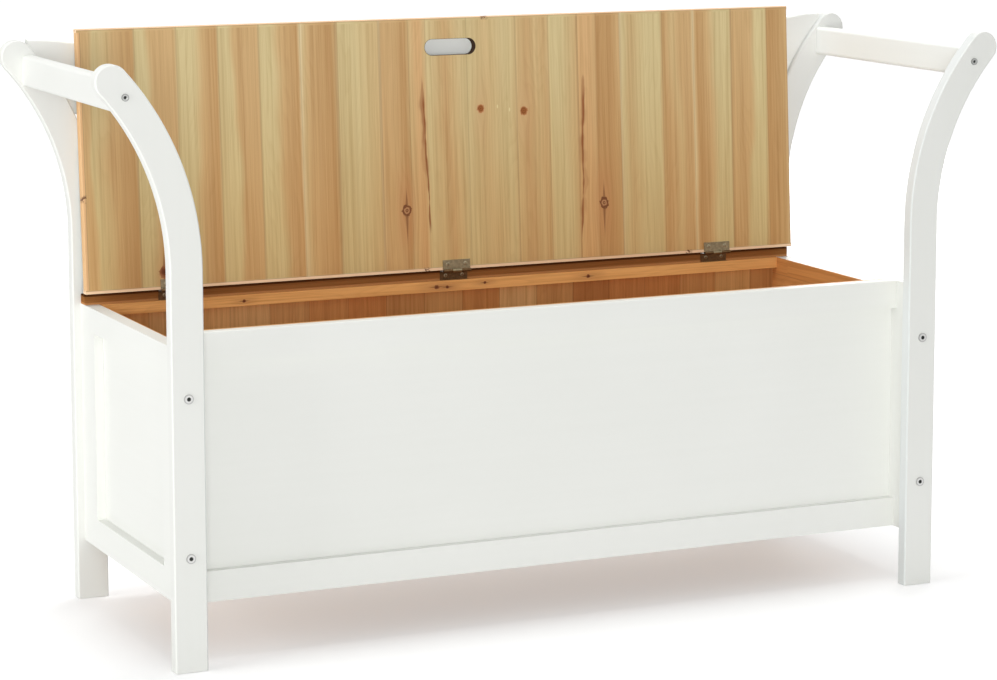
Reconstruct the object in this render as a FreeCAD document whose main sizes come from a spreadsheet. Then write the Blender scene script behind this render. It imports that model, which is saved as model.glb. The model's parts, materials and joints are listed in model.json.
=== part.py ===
"""Storage bench: four scroll-topped posts, a framed box and a hinged plank lid.

Frame: X along the length, right positive; Y from front to back; Z up. The origin is on the floor, under the
middle of the bench. The lid is drawn open, leaning back against the posts, and local frames of the lid start
on its hinge pins: x as X, y across the lid towards its free edge, z out of its underside.
"""
import FreeCAD, Part
import os
import Sketcher

SIZES = {
    # posts
    "overall_length": 1260, "overall_depth": 420, "post_high": 750, "post_wide": 42, "post_thick": 18,
    "bend_radius": 347, "bend_angle": 42, "post_ease": 1.5,
    # box: end frames between the posts, front frame between the end frames
    "box_bottom": 80, "box_high": 320, "frame_thick": 20, "stile_wide": 55, "end_top_rail_high": 33,
    "end_low_rail_high": 39, "front_setback": 32, "front_bottom": 72.5, "front_high": 340,
    "front_top_rail_high": 38, "front_low_rail_high": 39, "panel_thick": 8, "rebate_wide": 8,
    "tenon_thick": 8, "tenon_shoulder": 5, "tenon_clear": 1, "tenon_inset": 2, "front_tenon_long": 12,
    "fit_gap": 0.1, "edge_round": 1.5, "stile_drop": 0.5,
    # back, cleats and floor
    "back_board_thick": 12, "cleat_thick": 12, "cleat_high": 15, "floor_thick": 8, "floor_cleat": 15,
    "floor_gap": 0.5, "hinge_rail_deep": 18, "hinge_rail_high": 13,
    # arm rails and crest rail
    "arm_high": 40, "arm_thick": 18, "arm_round": 5, "arm_angle": 38, "crest_thick": 11,
    "crest_dip": 15, "crest_drop": 100, "crest_ear_radius": 300, "crest_dip_radius": 500,
    "crest_gap": 0.3, "crest_ease": 1.5, "crest_tenon_drop": 60, "crest_tenon_high": 32,
    "crest_tenon_long": 15, "crest_tenon_thick": 5,
    # lid
    "lid_over_end": 1.1, "lid_deep": 348, "lid_thick": 13, "lipping_wide": 5, "lid_lean": 3.7,
    "slot_long": 76, "slot_wide": 22, "slot_inset": 41, "lid_round": 1.5,
    # hinges
    "hinge_inset": 123, "leaf_long": 41, "leaf_thick": 1.2, "leaf_reach": 15, "knuckle_radius": 2.4,
    "pin_radius": 1.2, "pin_play": 0.05, "knuckle_gap": 0.3, "pin_up": 14.4, "pin_forward": 12.8,
    "lid_edge_gap": 1.4, "leaf_seat_gap": 0.3,
    # bolts
    "bolt_radius": 3, "bolt_play": 0.2, "bolt_head_radius": 6, "bolt_head_high": 2, "bolt_long": 46,
    "bolt_low": 143, "bolt_top": 341, "socket_radius": 2.6, "socket_deep": 1.4, "arm_head_radius": 4.5,
}

doc = FreeCAD.newDocument("StorageBench")
sheet = doc.addObject("Spreadsheet::Sheet", "Sizes")
for row, (alias, value) in enumerate(SIZES.items(), start=1):
    sheet.set(f"A{row}", alias)
    sheet.set(f"B{row}", str(value))
    sheet.setAlias(f"B{row}", alias)
doc.recompute()

PARTS = []
AXIS_TURN = {
    "x": FreeCAD.Rotation(FreeCAD.Vector(0, 1, 0), 90),
    "y": FreeCAD.Rotation(FreeCAD.Vector(1, 0, 0), -90),
    "-y": FreeCAD.Rotation(FreeCAD.Vector(1, 0, 0), 90),
    "z": FreeCAD.Rotation(),
    "-z": FreeCAD.Rotation(FreeCAD.Vector(1, 0, 0), 180),
}
SIDES = {"left": -1, "right": 1}


def size(text):
    """An expression in which every bare size name is read from the sheet."""
    words = "".join(c if c.isalnum() or c in "_." else " " for c in text).split()
    for word in sorted(set(words) & set(SIZES), key=len, reverse=True):
        text = replace_word(text, word, "Sizes." + word)
    return text


def replace_word(text, word, new):
    """Replace word where it stands by itself, not inside a longer name."""
    out, start = "", 0
    while True:
        at = text.find(word, start)
        if at < 0:
            return out + text[start:]
        end = at + len(word)
        before = text[at - 1] if at else " "
        after = text[end] if end < len(text) else " "
        whole = not (before.isalnum() or before in "_.") and not (after.isalnum() or after == "_")
        out += text[start:at] + (new if whole else word)
        start = end


# Places that several pieces share, as expressions of the sizes
FRONT_POST_BACK = "(post_thick - overall_depth / 2)"
BACK_POST_FRONT = "(overall_depth / 2 - post_thick)"
LEG_X = "(overall_length / 2 - post_wide / 2 - bend_radius * (1 - cos(bend_angle)))"
LEG_TOP = "(post_high - post_wide / 2 - bend_radius * sin(bend_angle))"
BEND_X = f"({LEG_X} + bend_radius)"
BOX_IN = f"({LEG_X} - frame_thick / 2)"
BOX_TOP = "(box_bottom + box_high)"
FRONT_FACE = f"({FRONT_POST_BACK} + front_setback)"
FRONT_BACK = f"({FRONT_FACE} + frame_thick)"
FRONT_TOP = "(front_bottom + front_high)"
BOARD_FACE = f"({BACK_POST_FRONT} - back_board_thick)"
RAIL_FACE = f"({BACK_POST_FRONT} - hinge_rail_deep)"
PIN_Y = f"({RAIL_FACE} - pin_forward)"
PIN_Z = f"({BOX_TOP} + pin_up)"
ARM_X = f"({BEND_X} - bend_radius * cos(arm_angle))"
ARM_Z = f"({LEG_TOP} + bend_radius * sin(arm_angle))"
ARM_LONG = "(overall_depth - 2 * post_thick)"
LID_BACK = "(knuckle_radius + lid_thick)"
LID_LONG = f"(2 * ({BOX_IN} + frame_thick + lid_over_end))"
HINGE_X = f"({LID_LONG} / 2 - hinge_inset)"
TENON_LONG = "(stile_wide - front_setback - tenon_inset - tenon_thick - tenon_clear)"
CREST_BOTTOM = "(post_high - crest_drop)"


def bind(thing, name, expression):
    """Tie one property to an expression of the sizes."""
    thing.setExpression(name, size(str(expression)))


def place(thing, at, turn=None):
    """Put a feature or body at three expressions, turned by a fixed rotation."""
    if turn is not None:
        thing.Placement = FreeCAD.Placement(FreeCAD.Vector(), turn)
    for letter, expression in zip("xyz", at):
        bind(thing, "Placement.Base." + letter, expression)


def new_body(label, at=(0, 0, 0)):
    """An empty body for one piece of the bench."""
    body = doc.addObject("PartDesign::Body", label)
    body.Label = label
    place(body, at)
    PARTS.append(body)
    return body


def feature(body, kind, sizes, at=(0, 0, 0), turn=None):
    """Add one PartDesign primitive, such as AdditiveBox, to a body."""
    made = body.newObject("PartDesign::" + kind, f"{body.Name}_{kind}")
    for name, expression in sizes.items():
        bind(made, name, expression)
    place(made, at, turn)
    return made


def block(body, low, span, cut=False):
    """Add or cut a box from its low corner and its three sizes."""
    kind = "SubtractiveBox" if cut else "AdditiveBox"
    return feature(body, kind, dict(zip(("Length", "Width", "Height"), span)), low)


def rod(body, radius, length, at, axis, cut=False):
    """Add or cut a cylinder that starts at a point and runs along an axis."""
    kind = "SubtractiveCylinder" if cut else "AdditiveCylinder"
    return feature(body, kind, {"Radius": radius, "Height": length}, at, AXIS_TURN[axis])


def sketch_on(body, role):
    """A sketch on one of the body's own origin planes."""
    made = body.newObject("Sketcher::SketchObject", body.Name + "_sketch")
    plane = next(item for item in body.Origin.OriginFeatures if item.Role == role)
    made.AttachmentSupport = (plane, "")
    made.MapMode = "FlatFace"
    return made


def dimension(sketch, kind, first, second, expression):
    """A driving distance between two sketch points, each given as (curve, end)."""
    number = sketch.addConstraint(Sketcher.Constraint(kind, *first, *second, read(expression)))
    bind(sketch, f"Constraints[{number}]", expression)


def pad(body, sketch, length, both_ways=False):
    """Pad a sketch by a bound length, one way or half each way."""
    made = body.newObject("PartDesign::Pad", body.Name + "_pad")
    made.Profile = sketch
    bind(made, "Length", length)
    made.Midplane = both_ways
    doc.recompute()
    return made


def ease_edges(body, kind, amount, chosen):
    """Fillet or chamfer the edges of the body's tip that a test picks."""
    doc.recompute()
    tip = body.Tip
    names = [f"Edge{n}" for n, edge in enumerate(tip.Shape.Edges, start=1) if chosen(edge)]
    made = body.newObject("PartDesign::" + kind, body.Name + "_ease")
    made.Base = (tip, names)
    bind(made, "Radius" if kind == "Fillet" else "Size", amount)
    doc.recompute()
    return made


def read(expression):
    """The number that an expression of the sizes gives."""
    return float(sheet.evalExpression(size(expression)))


def runs_along(edge, letter):
    """True for a straight edge parallel to one axis."""
    if not isinstance(edge.Curve, (Part.Line, Part.LineSegment)):
        return False
    direction = edge.tangentAt(edge.FirstParameter)
    return abs(getattr(direction, letter)) > 0.999


def mirrored(side, low, span):
    """The low X of a block of the given span, on the right as given, on the left mirrored."""
    return f"({low})" if side > 0 else f"(-({low}) - ({span}))"


# Posts: a straight leg that sweeps outwards in one arc to a full round tip
def post_profile(body):
    """The outline of a right-hand post in X and Z, leg centred on the local origin."""
    high, wide = read(LEG_TOP), read("post_wide")
    radius, sweep = read("bend_radius"), FreeCAD.Units.Quantity(f"{read('bend_angle')} deg")
    bend = FreeCAD.Vector(radius, high, 0)
    turn = read("bend_angle") * 3.141592653589793 / 180
    tip = FreeCAD.Vector(radius - read("bend_radius * cos(bend_angle)"),
                         high + read("bend_radius * sin(bend_angle)"), 0)
    up = FreeCAD.Vector(0, 0, 1)
    pi = 3.141592653589793
    outer = Part.Circle(bend, up, radius - wide / 2)
    inner = Part.Circle(bend, up, radius + wide / 2)
    end = Part.Circle(tip, up, wide / 2)
    left, right = -wide / 2, wide / 2
    sketch = sketch_on(body, "XZ_Plane")
    sketch.addGeometry([
        Part.LineSegment(FreeCAD.Vector(left, 0, 0), FreeCAD.Vector(right, 0, 0)),
        Part.LineSegment(FreeCAD.Vector(right, 0, 0), FreeCAD.Vector(right, high, 0)),
        Part.ArcOfCircle(outer, pi - turn, pi),
        Part.ArcOfCircle(end, -turn, pi - turn),
        Part.ArcOfCircle(inner, pi - turn, pi),
        Part.LineSegment(FreeCAD.Vector(left, high, 0), FreeCAD.Vector(left, 0, 0)),
    ], False)
    rules = [
        ("Horizontal", 0), ("Vertical", 1), ("Coincident", 0, 2, 1, 1), ("Tangent", 1, 2, 2, 2),
        ("Tangent", 2, 1, 3, 1), ("Tangent", 3, 2, 4, 1), ("Tangent", 4, 2, 5, 1),
        ("Coincident", 5, 2, 0, 1), ("Coincident", 2, 3, 4, 3), ("Symmetric", 0, 1, 0, 2, -1, 1),
    ]
    for rule in rules:
        sketch.addConstraint(Sketcher.Constraint(*rule))
    dimension(sketch, "DistanceX", (0, 1), (0, 2), "post_wide")
    dimension(sketch, "DistanceX", (-1, 1), (2, 3), "bend_radius")
    dimension(sketch, "DistanceY", (-1, 1), (2, 3), LEG_TOP)
    dimension(sketch, "DistanceY", (2, 3), (3, 3), "bend_radius * sin(bend_angle)")
    return sketch


def post(label, side, y_face, carries_crest=False):
    """One post, its thickness behind y_face; a left post is the same prism turned half round."""
    turned = side < 0
    body = new_body(label)
    pad(body, post_profile(body), "post_thick", both_ways=True)
    edge_y = read("post_thick / 2")
    ease_edges(body, "Chamfer", "post_ease", lambda e: all(abs(abs(v.Y) - edge_y) < 0.01 for v in e.Vertexes)
               and e.BoundBox.ZMax > 0.1 and e.BoundBox.YLength < 0.01)
    front = "(-post_thick / 2 - 1)"
    arm = (f"{ARM_X} - {LEG_X}", front, ARM_Z)
    for at in ((0, front, "bolt_low"), (0, front, "bolt_top"), arm):
        rod(body, "bolt_radius + bolt_play", "post_thick + 2", at, "y", cut=True)
    if carries_crest:
        middle = f"({CREST_Y} - {y_face} - post_thick / 2)" + (" * -1" if turned else "")
        block(body, (f"{CREST_TENON_X} - {LEG_X} - post_wide", f"{middle} - crest_tenon_thick / 2 - fit_gap",
                     f"{CREST_TENON_Z} - fit_gap"),
              ("post_wide + fit_gap", "crest_tenon_thick + 2 * fit_gap", "crest_tenon_high + 2 * fit_gap"),
              cut=True)
    place(body, (f"{side} * {LEG_X}", f"{y_face} + post_thick / 2", 0),
          FreeCAD.Rotation(FreeCAD.Vector(0, 0, 1), 180 if turned else 0))
    return body


def crest_end_x(height):
    """X of the post's inner edge, on its arc, at a height."""
    reach = "(bend_radius + post_wide / 2)"
    return f"({BEND_X} - sqrt({reach} * {reach} - ({height} - {LEG_TOP}) * ({height} - {LEG_TOP})))"


CREST_Y = f"({BACK_POST_FRONT} + post_thick - crest_thick / 2)"
CREST_TENON_Z = "(post_high - crest_tenon_drop)"
CREST_TENON_X = f"({crest_end_x('(post_high - crest_tenon_drop + crest_tenon_high / 2)')} + crest_tenon_long)"


# Crest rail: a board between the back posts, its ends scribed to their curve, its ears swept up
def crest_profile(body):
    """The right half of the crest rail's outline, in X and Z."""
    up = FreeCAD.Vector(0, 0, 1)
    reach = read("bend_radius + post_wide / 2 + crest_gap")
    bend = FreeCAD.Vector(read(BEND_X), read(LEG_TOP), 0)
    low, end_top, dip = read(CREST_BOTTOM), read("post_high"), read("crest_dip")
    ear, sag = read("crest_ear_radius"), read("crest_dip_radius")
    run = read("(crest_ear_radius + crest_dip_radius) * sin(acos(1 - crest_dip / (crest_ear_radius"
               " + crest_dip_radius)))")
    lean = read("acos(1 - crest_dip / (crest_ear_radius + crest_dip_radius))") * 3.141592653589793 / 180
    pi = 3.141592653589793
    tip = pi - read("bend_angle") * pi / 180
    foot = pi - read(f"asin(({CREST_BOTTOM} - {LEG_TOP}) / (bend_radius + post_wide / 2 + crest_gap))") * pi / 180
    arc = Part.Circle(bend, up, reach)
    top_of_arc = arc.value(tip)
    corner_x = top_of_arc.x
    ear_circle = Part.Circle(FreeCAD.Vector(corner_x, end_top - ear, 0), up, ear)
    sag_circle = Part.Circle(FreeCAD.Vector(corner_x - run, end_top - dip + sag, 0), up, sag)
    sketch = sketch_on(body, "XZ_Plane")
    sketch.addGeometry([
        Part.LineSegment(FreeCAD.Vector(0, low, 0), arc.value(foot)),
        Part.ArcOfCircle(arc, tip, foot),
        Part.LineSegment(top_of_arc, FreeCAD.Vector(corner_x, end_top, 0)),
        Part.ArcOfCircle(ear_circle, pi / 2, pi / 2 + lean),
        Part.ArcOfCircle(sag_circle, -pi / 2, -pi / 2 + lean),
        Part.LineSegment(FreeCAD.Vector(corner_x - run, end_top - dip, 0),
                         FreeCAD.Vector(0, end_top - dip, 0)),
        Part.LineSegment(FreeCAD.Vector(0, end_top - dip, 0), FreeCAD.Vector(0, low, 0)),
    ], False)
    rules = [
        ("Horizontal", 0), ("Vertical", 2), ("Horizontal", 5), ("Vertical", 6),
        ("Coincident", 0, 2, 1, 2), ("Coincident", 1, 1, 2, 1), ("Coincident", 2, 2, 3, 1),
        ("Vertical", 3, 3, 3, 1), ("Tangent", 3, 2, 4, 2), ("Tangent", 4, 1, 5, 1),
        ("Coincident", 5, 2, 6, 1), ("Coincident", 6, 2, 0, 1), ("PointOnObject", 6, 2, -2),
    ]
    for rule in rules:
        sketch.addConstraint(Sketcher.Constraint(*rule))
    dimension(sketch, "DistanceX", (-1, 1), (1, 3), BEND_X)
    dimension(sketch, "DistanceY", (-1, 1), (1, 3), LEG_TOP)
    dimension(sketch, "DistanceY", (-1, 1), (0, 1), CREST_BOTTOM)
    dimension(sketch, "DistanceY", (-1, 1), (3, 1), "post_high")
    dimension(sketch, "DistanceY", (5, 2), (3, 1), "crest_dip")
    reach_name = "(bend_radius + post_wide / 2 + crest_gap)"
    dimension(sketch, "DistanceY", (1, 3), (1, 1), f"{reach_name} * sin(bend_angle)")
    for curve, radius in ((1, reach_name), (3, "crest_ear_radius"), (4, "crest_dip_radius")):
        number = sketch.addConstraint(Sketcher.Constraint("Radius", curve, read(radius)))
        bind(sketch, f"Constraints[{number}]", radius)
    return sketch


def crest_rail():
    """The crest rail, flush with the backs of the posts and tenoned into them."""
    body = new_body("crest_rail", (0, CREST_Y, 0))
    half = pad(body, crest_profile(body), "crest_thick", both_ways=True)
    mirror = body.newObject("PartDesign::Mirrored", "crest_mirror")
    mirror.Originals = [half]
    plane = next(item for item in body.Origin.OriginFeatures if item.Role == "YZ_Plane")
    mirror.MirrorPlane = (plane, [""])
    body.Tip = mirror
    edge_y = read("crest_thick / 2")
    top = read("post_high - crest_dip") - 0.1
    ease_edges(body, "Chamfer", "crest_ease", lambda e: e.BoundBox.ZMin > top and e.BoundBox.YLength < 0.01
               and e.BoundBox.XLength > 5 and abs(abs(e.Vertexes[0].Y) - edge_y) < 0.01)
    root = f"({crest_end_x(CREST_TENON_Z)} - post_wide / 2)"
    span = f"({CREST_TENON_X} - {root})"
    for side in SIDES.values():
        block(body, (mirrored(side, root, span), "-crest_tenon_thick / 2", CREST_TENON_Z),
              (span, "crest_tenon_thick", "crest_tenon_high"))


def arm_rail(name, side):
    """A rounded rail that joins the tips of a front and a back post."""
    body = new_body("arm_rail_" + name)
    low = (f"{side} * {ARM_X} - arm_thick / 2", FRONT_POST_BACK, f"{ARM_Z} - arm_high / 2")
    block(body, low, ("arm_thick", ARM_LONG, "arm_high"))
    ease_edges(body, "Fillet", "arm_round", lambda e: runs_along(e, "y"))
    for start, axis in ((FRONT_POST_BACK, "y"), (BACK_POST_FRONT, "-y")):
        at = (f"{side} * {ARM_X}", start, ARM_Z)
        rod(body, "bolt_radius + fit_gap", "bolt_long - post_thick + fit_gap", at, axis, cut=True)


# End frames: stiles and tenoned rails, 20 mm thick, round a thin panel let in from the inside
def end_frame(name, side):
    """The five pieces of one end of the box."""
    x_low = mirrored(side, BOX_IN, "frame_thick")
    rebate_x = mirrored(side, f"{BOX_IN} - 1", "panel_thick + 1 + fit_gap")
    tenon_x = mirrored(side, f"{LEG_X} - tenon_thick / 2", "tenon_thick")
    mortise_x = mirrored(side, f"{LEG_X} - tenon_thick / 2 - fit_gap", "tenon_thick + 2 * fit_gap")
    front_edge = f"({FRONT_POST_BACK} + stile_wide)"
    back_edge = f"({BACK_POST_FRONT} - stile_wide)"
    rails = {
        "low": ("box_bottom", "end_low_rail_high", "box_bottom + tenon_shoulder",
                "box_bottom + end_low_rail_high - rebate_wide"),
        "top": (f"({BOX_TOP} - end_top_rail_high)", "end_top_rail_high",
                f"({BOX_TOP} - end_top_rail_high + rebate_wide + tenon_shoulder)",
                f"({BOX_TOP} - end_top_rail_high - 1)"),
    }
    open_low = "(box_bottom + end_low_rail_high - rebate_wide)"
    open_high = "(box_high - end_low_rail_high - end_top_rail_high + 2 * rebate_wide)"
    for place_name, post_face, edge, inward in (
            ("front", FRONT_POST_BACK, front_edge, 1), ("back", BACK_POST_FRONT, back_edge, -1)):
        stile = new_body(f"end_{place_name}_stile_{name}")
        y_low = post_face if inward > 0 else edge
        block(stile, (x_low, y_low, "box_bottom"), ("frame_thick", "stile_wide", "box_high"))
        if inward > 0:  # the part before the front frame is as tall as the front, and the shut lid covers it
            block(stile, (x_low, y_low, "front_bottom"),
                  ("frame_thick", "front_setback", "front_high - stile_drop"))
        rebate_y = f"({edge} - rebate_wide)" if inward > 0 else f"({edge} - 1)"
        block(stile, (rebate_x, rebate_y, open_low), ("panel_thick + 1 + fit_gap", "rebate_wide + 1", open_high),
              cut=True)
        mortise_y = f"({edge} - {TENON_LONG} - fit_gap)" if inward > 0 else f"({edge} - 1)"
        for rail_low, rail_high, tenon_low, unused in rails.values():
            block(stile, (mortise_x, mortise_y, f"{tenon_low} - fit_gap"),
                  ("tenon_thick + 2 * fit_gap", f"{TENON_LONG} + fit_gap + 1",
                   f"{rail_high} - rebate_wide - 2 * tenon_shoulder + 2 * fit_gap"), cut=True)
        axis = "y" if inward > 0 else "-y"
        for height in ("bolt_low", "bolt_top"):
            at = (f"{side} * {LEG_X}", post_face, height)
            rod(stile, "bolt_radius + fit_gap", "bolt_long - post_thick + fit_gap", at, axis, cut=True)
        if inward > 0:
            for low, high in FRONT_TENONS:
                span = "front_tenon_long + 1 + fit_gap"
                at = (mirrored(side, f"{BOX_IN} - 1", span), f"{FRONT_TENON_Y} - fit_gap", f"{low} - fit_gap")
                block(stile, at, (span, "tenon_thick + 2 * fit_gap", f"{high} - {low} + 2 * fit_gap"), cut=True)
    clear = f"({back_edge} - {front_edge})"
    for rail_name, (rail_low, rail_high, tenon_low, rebate_low) in rails.items():
        rail = new_body(f"end_{rail_name}_rail_{name}")
        block(rail, (x_low, front_edge, rail_low), ("frame_thick", clear, rail_high))
        block(rail, (tenon_x, f"{front_edge} - {TENON_LONG}", tenon_low),
              ("tenon_thick", f"{clear} + 2 * {TENON_LONG}", f"{rail_high} - rebate_wide - 2 * tenon_shoulder"))
        block(rail, (rebate_x, f"{front_edge} - {TENON_LONG} - 1", rebate_low),
              ("panel_thick + 1 + fit_gap", f"{clear} + 2 * {TENON_LONG} + 2", "rebate_wide + 1"), cut=True)
    panel = new_body("end_panel_" + name)
    block(panel, (mirrored(side, BOX_IN, "panel_thick"), f"{front_edge} - rebate_wide + fit_gap",
                  f"{open_low} + fit_gap"),
          ("panel_thick", f"{clear} + 2 * rebate_wide - 2 * fit_gap", f"{open_high} - 2 * fit_gap"))


FRONT_TENON_Y = f"({FRONT_FACE} + tenon_inset)"
FRONT_TENONS = (
    ("(box_bottom + tenon_shoulder)", "(front_bottom + front_low_rail_high - tenon_shoulder)"),
    (f"({FRONT_TOP} - front_top_rail_high + tenon_shoulder)", f"({BOX_TOP} - tenon_shoulder)"),
)


def front_frame():
    """Two long rails tenoned into the end frames, and the wide panel let into them from the inside."""
    long = f"(2 * {BOX_IN})"
    low_rail = new_body("front_low_rail")
    block(low_rail, (f"-{BOX_IN}", FRONT_FACE, "front_bottom"), (long, "frame_thick", "front_low_rail_high"))
    top_rail = new_body("front_top_rail")
    top_low = f"({FRONT_TOP} - front_top_rail_high)"
    block(top_rail, (f"-{BOX_IN}", FRONT_FACE, top_low), (long, "frame_thick", "front_top_rail_high"))
    high = read(FRONT_TOP) - 0.01
    ease_edges(top_rail, "Fillet", "edge_round", lambda e: runs_along(e, "x") and e.BoundBox.ZMin > high)
    rebate_y = f"({FRONT_BACK} - panel_thick - fit_gap)"
    wide = "panel_thick + fit_gap + 1"
    open_low = "(front_bottom + front_low_rail_high - rebate_wide)"
    block(low_rail, (f"-{BOX_IN} - 1", rebate_y, open_low), (f"{long} + 2", wide, "rebate_wide + 1"), cut=True)
    block(top_rail, (f"-{BOX_IN} - 1", rebate_y, f"{top_low} - 1"), (f"{long} + 2", wide, "rebate_wide + 1"),
          cut=True)
    for rail, (low, high) in zip((low_rail, top_rail), FRONT_TENONS):
        block(rail, (f"-{BOX_IN} - front_tenon_long", FRONT_TENON_Y, low),
              (f"{long} + 2 * front_tenon_long", "tenon_thick", f"{high} - {low}"))
    panel = new_body("front_panel")
    block(panel, (f"-{BOX_IN} + fit_gap", f"{FRONT_BACK} - panel_thick", f"{open_low} + fit_gap"),
          (f"{long} - 2 * fit_gap", "panel_thick",
           "front_high - front_low_rail_high - front_top_rail_high + 2 * rebate_wide - 2 * fit_gap"))


def back_and_floor():
    """The board at the back, its cleat, the hinge rail on top, and the floor on its cleats."""
    long = f"(2 * {BOX_IN})"
    board = new_body("back_board")
    block(board, (f"-{BOX_IN}", BOARD_FACE, "box_bottom"), (long, "back_board_thick", "box_high"))
    cleat = new_body("back_cleat")
    block(cleat, (f"-{BOX_IN}", f"{BOARD_FACE} - cleat_thick", f"{BOX_TOP} - cleat_high"),
          (long, "cleat_thick", "cleat_high"))
    rail = new_body("hinge_rail")
    block(rail, (f"-{BOX_IN} - frame_thick", RAIL_FACE, BOX_TOP),
          (f"{long} + 2 * frame_thick", "hinge_rail_deep", "hinge_rail_high"))
    depth = f"({BOARD_FACE} - {FRONT_BACK})"
    floor_z = "(box_bottom + floor_cleat)"
    floor = new_body("floor_board")
    block(floor, (f"-{BOX_IN} + floor_gap", f"{FRONT_BACK} + floor_gap", floor_z),
          (f"{long} - 2 * floor_gap", f"{depth} - 2 * floor_gap", "floor_thick"))
    for name, y in (("front", FRONT_BACK), ("back", f"({BOARD_FACE} - floor_cleat)")):
        bar = new_body("floor_cleat_" + name)
        block(bar, (f"-{BOX_IN}", y, "box_bottom"), (long, "floor_cleat", "floor_cleat"))
    for name, side in SIDES.items():
        bar = new_body("floor_cleat_" + name)
        block(bar, (mirrored(side, f"{BOX_IN} - floor_cleat", "floor_cleat"), f"{FRONT_BACK} + floor_cleat",
                    "box_bottom"), ("floor_cleat", f"{depth} - 2 * floor_cleat", "floor_cleat"))


# Lid: glued staves with a narrow lipping all round, drawn in the frame of the hinge pins
def lid_body(label):
    """A body in the lid's own frame, turned to the open lid."""
    body = new_body(label)
    body.Placement = FreeCAD.Placement(FreeCAD.Vector(), FreeCAD.Rotation(FreeCAD.Vector(1, 0, 0), 45))
    bind(body, "Placement.Rotation.Angle", "90 - lid_lean")
    for letter, expression in zip("xyz", (0, PIN_Y, PIN_Z)):
        bind(body, "Placement.Base." + letter, expression)
    return body


def lid():
    """The stave panel with its finger slot, and four lippings."""
    inner_long = f"({LID_LONG} - 2 * lipping_wide)"
    inner_deep = "(lid_deep - 2 * lipping_wide)"
    panel = lid_body("lid_panel")
    block(panel, (f"-{inner_long} / 2", "lid_edge_gap + lipping_wide", f"-{LID_BACK}"),
          (inner_long, inner_deep, "lid_thick"))
    slot_y = "(lid_edge_gap + lid_deep - slot_inset)"
    straight = "(slot_long - slot_wide)"
    block(panel, (f"-{straight} / 2", f"{slot_y} - slot_wide / 2", f"-{LID_BACK} - 1"),
          (straight, "slot_wide", "lid_thick + 2"), cut=True)
    for side in SIDES.values():
        rod(panel, "slot_wide / 2", "lid_thick + 2", (f"{side} * {straight} / 2", slot_y, f"-{LID_BACK} - 1"),
            "z", cut=True)
    back = read(f"-{LID_BACK}") + 0.01
    ends = {"rear": "lid_edge_gap", "front": "(lid_edge_gap + lid_deep - lipping_wide)"}
    for name, y in ends.items():
        strip = lid_body("lid_lipping_" + name)
        block(strip, (f"-{LID_LONG} / 2", y, f"-{LID_BACK}"), (LID_LONG, "lipping_wide", "lid_thick"))
        outer = read(y if name == "rear" else f"{y} + lipping_wide")
        ease_edges(strip, "Fillet", "lid_round", lambda e: runs_along(e, "x") and abs(e.Vertexes[0].Y - outer) < 0.01
                    and (name == "front" or e.Vertexes[0].Z < back))
    for name, side in SIDES.items():
        strip = lid_body("lid_lipping_" + name)
        block(strip, (mirrored(side, f"{LID_LONG} / 2 - lipping_wide", "lipping_wide"),
                      "lid_edge_gap + lipping_wide", f"-{LID_BACK}"), ("lipping_wide", inner_deep, "lid_thick"))
        outer = read(f"{side} * {LID_LONG} / 2")
        ease_edges(strip, "Fillet", "lid_round", lambda e: runs_along(e, "y") and abs(e.Vertexes[0].X - outer) < 0.01)


# Butt hinges: interleaved knuckles on a pin; the fixed leaf is cranked back to the hinge rail
HINGES = {"left": f"(-{HINGE_X})", "middle": "(0)", "right": HINGE_X}
KNUCKLES = 3
KNUCKLE_LONG = f"(leaf_long / {KNUCKLES})"


def leaf_barrel(body, x, own):
    """Bore the pin hole and cut the gaps for the other leaf's knuckles; own names this leaf's knuckles."""
    reach = "(knuckle_radius + knuckle_gap)"
    for number in range(KNUCKLES):
        if number in own:
            continue
        start = f"({x} - leaf_long / 2 + {number} * {KNUCKLE_LONG})"
        low_trim = "-knuckle_gap / 2" if number else "-1"
        high_trim = "knuckle_gap" if 0 < number < KNUCKLES - 1 else "knuckle_gap / 2 + 1"
        block(body, (f"{start} + {low_trim}", f"-{reach}", f"-{reach}"),
              (f"{KNUCKLE_LONG} + {high_trim}", f"2 * {reach}", f"2 * {reach}"), cut=True)
    rod(body, "pin_radius + pin_play", "leaf_long + 2", (f"{x} - leaf_long / 2 - 1", 0, 0), "x", cut=True)


def hinge(name, x):
    """One hinge: the fixed leaf on the rail, the lid leaf on the lid's underside, and the pin."""
    fixed = new_body("hinge_fixed_leaf_" + name, (0, PIN_Y, PIN_Z))
    start = f"({x} - leaf_long / 2)"
    rod(fixed, "knuckle_radius", "leaf_long", (start, 0, 0), "x")
    block(fixed, (start, 0, "-knuckle_radius"), ("leaf_long", "pin_forward", "leaf_thick"))
    flange = "(pin_up - knuckle_radius + leaf_thick - leaf_seat_gap)"
    block(fixed, (start, "pin_forward - leaf_thick", "-pin_up + leaf_seat_gap"), ("leaf_long", "leaf_thick", flange))
    leaf_barrel(fixed, x, own=range(0, KNUCKLES, 2))
    moving = lid_body("hinge_lid_leaf_" + name)
    rod(moving, "knuckle_radius", "leaf_long", (start, 0, 0), "x")
    block(moving, (start, 0, "-knuckle_radius"), ("leaf_long", "leaf_reach", "leaf_thick"))
    leaf_barrel(moving, x, own=range(1, KNUCKLES, 2))
    pin = new_body("hinge_pin_" + name, (0, PIN_Y, PIN_Z))
    rod(pin, "pin_radius", "leaf_long", (start, 0, 0), "x")


# Fasteners: identical ones share a node, as separate solids
def group(label, solids):
    """Several separate solids under one name."""
    made = doc.addObject("Part::Compound", label)
    made.Label = label
    made.Links = solids
    PARTS.append(made)


def cylinder(name, radius, length, at, axis):
    """A Part cylinder that starts at a point and runs along an axis."""
    made = doc.addObject("Part::Cylinder", name)
    bind(made, "Radius", radius)
    bind(made, "Height", length)
    place(made, at, AXIS_TURN[axis])
    return made


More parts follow.
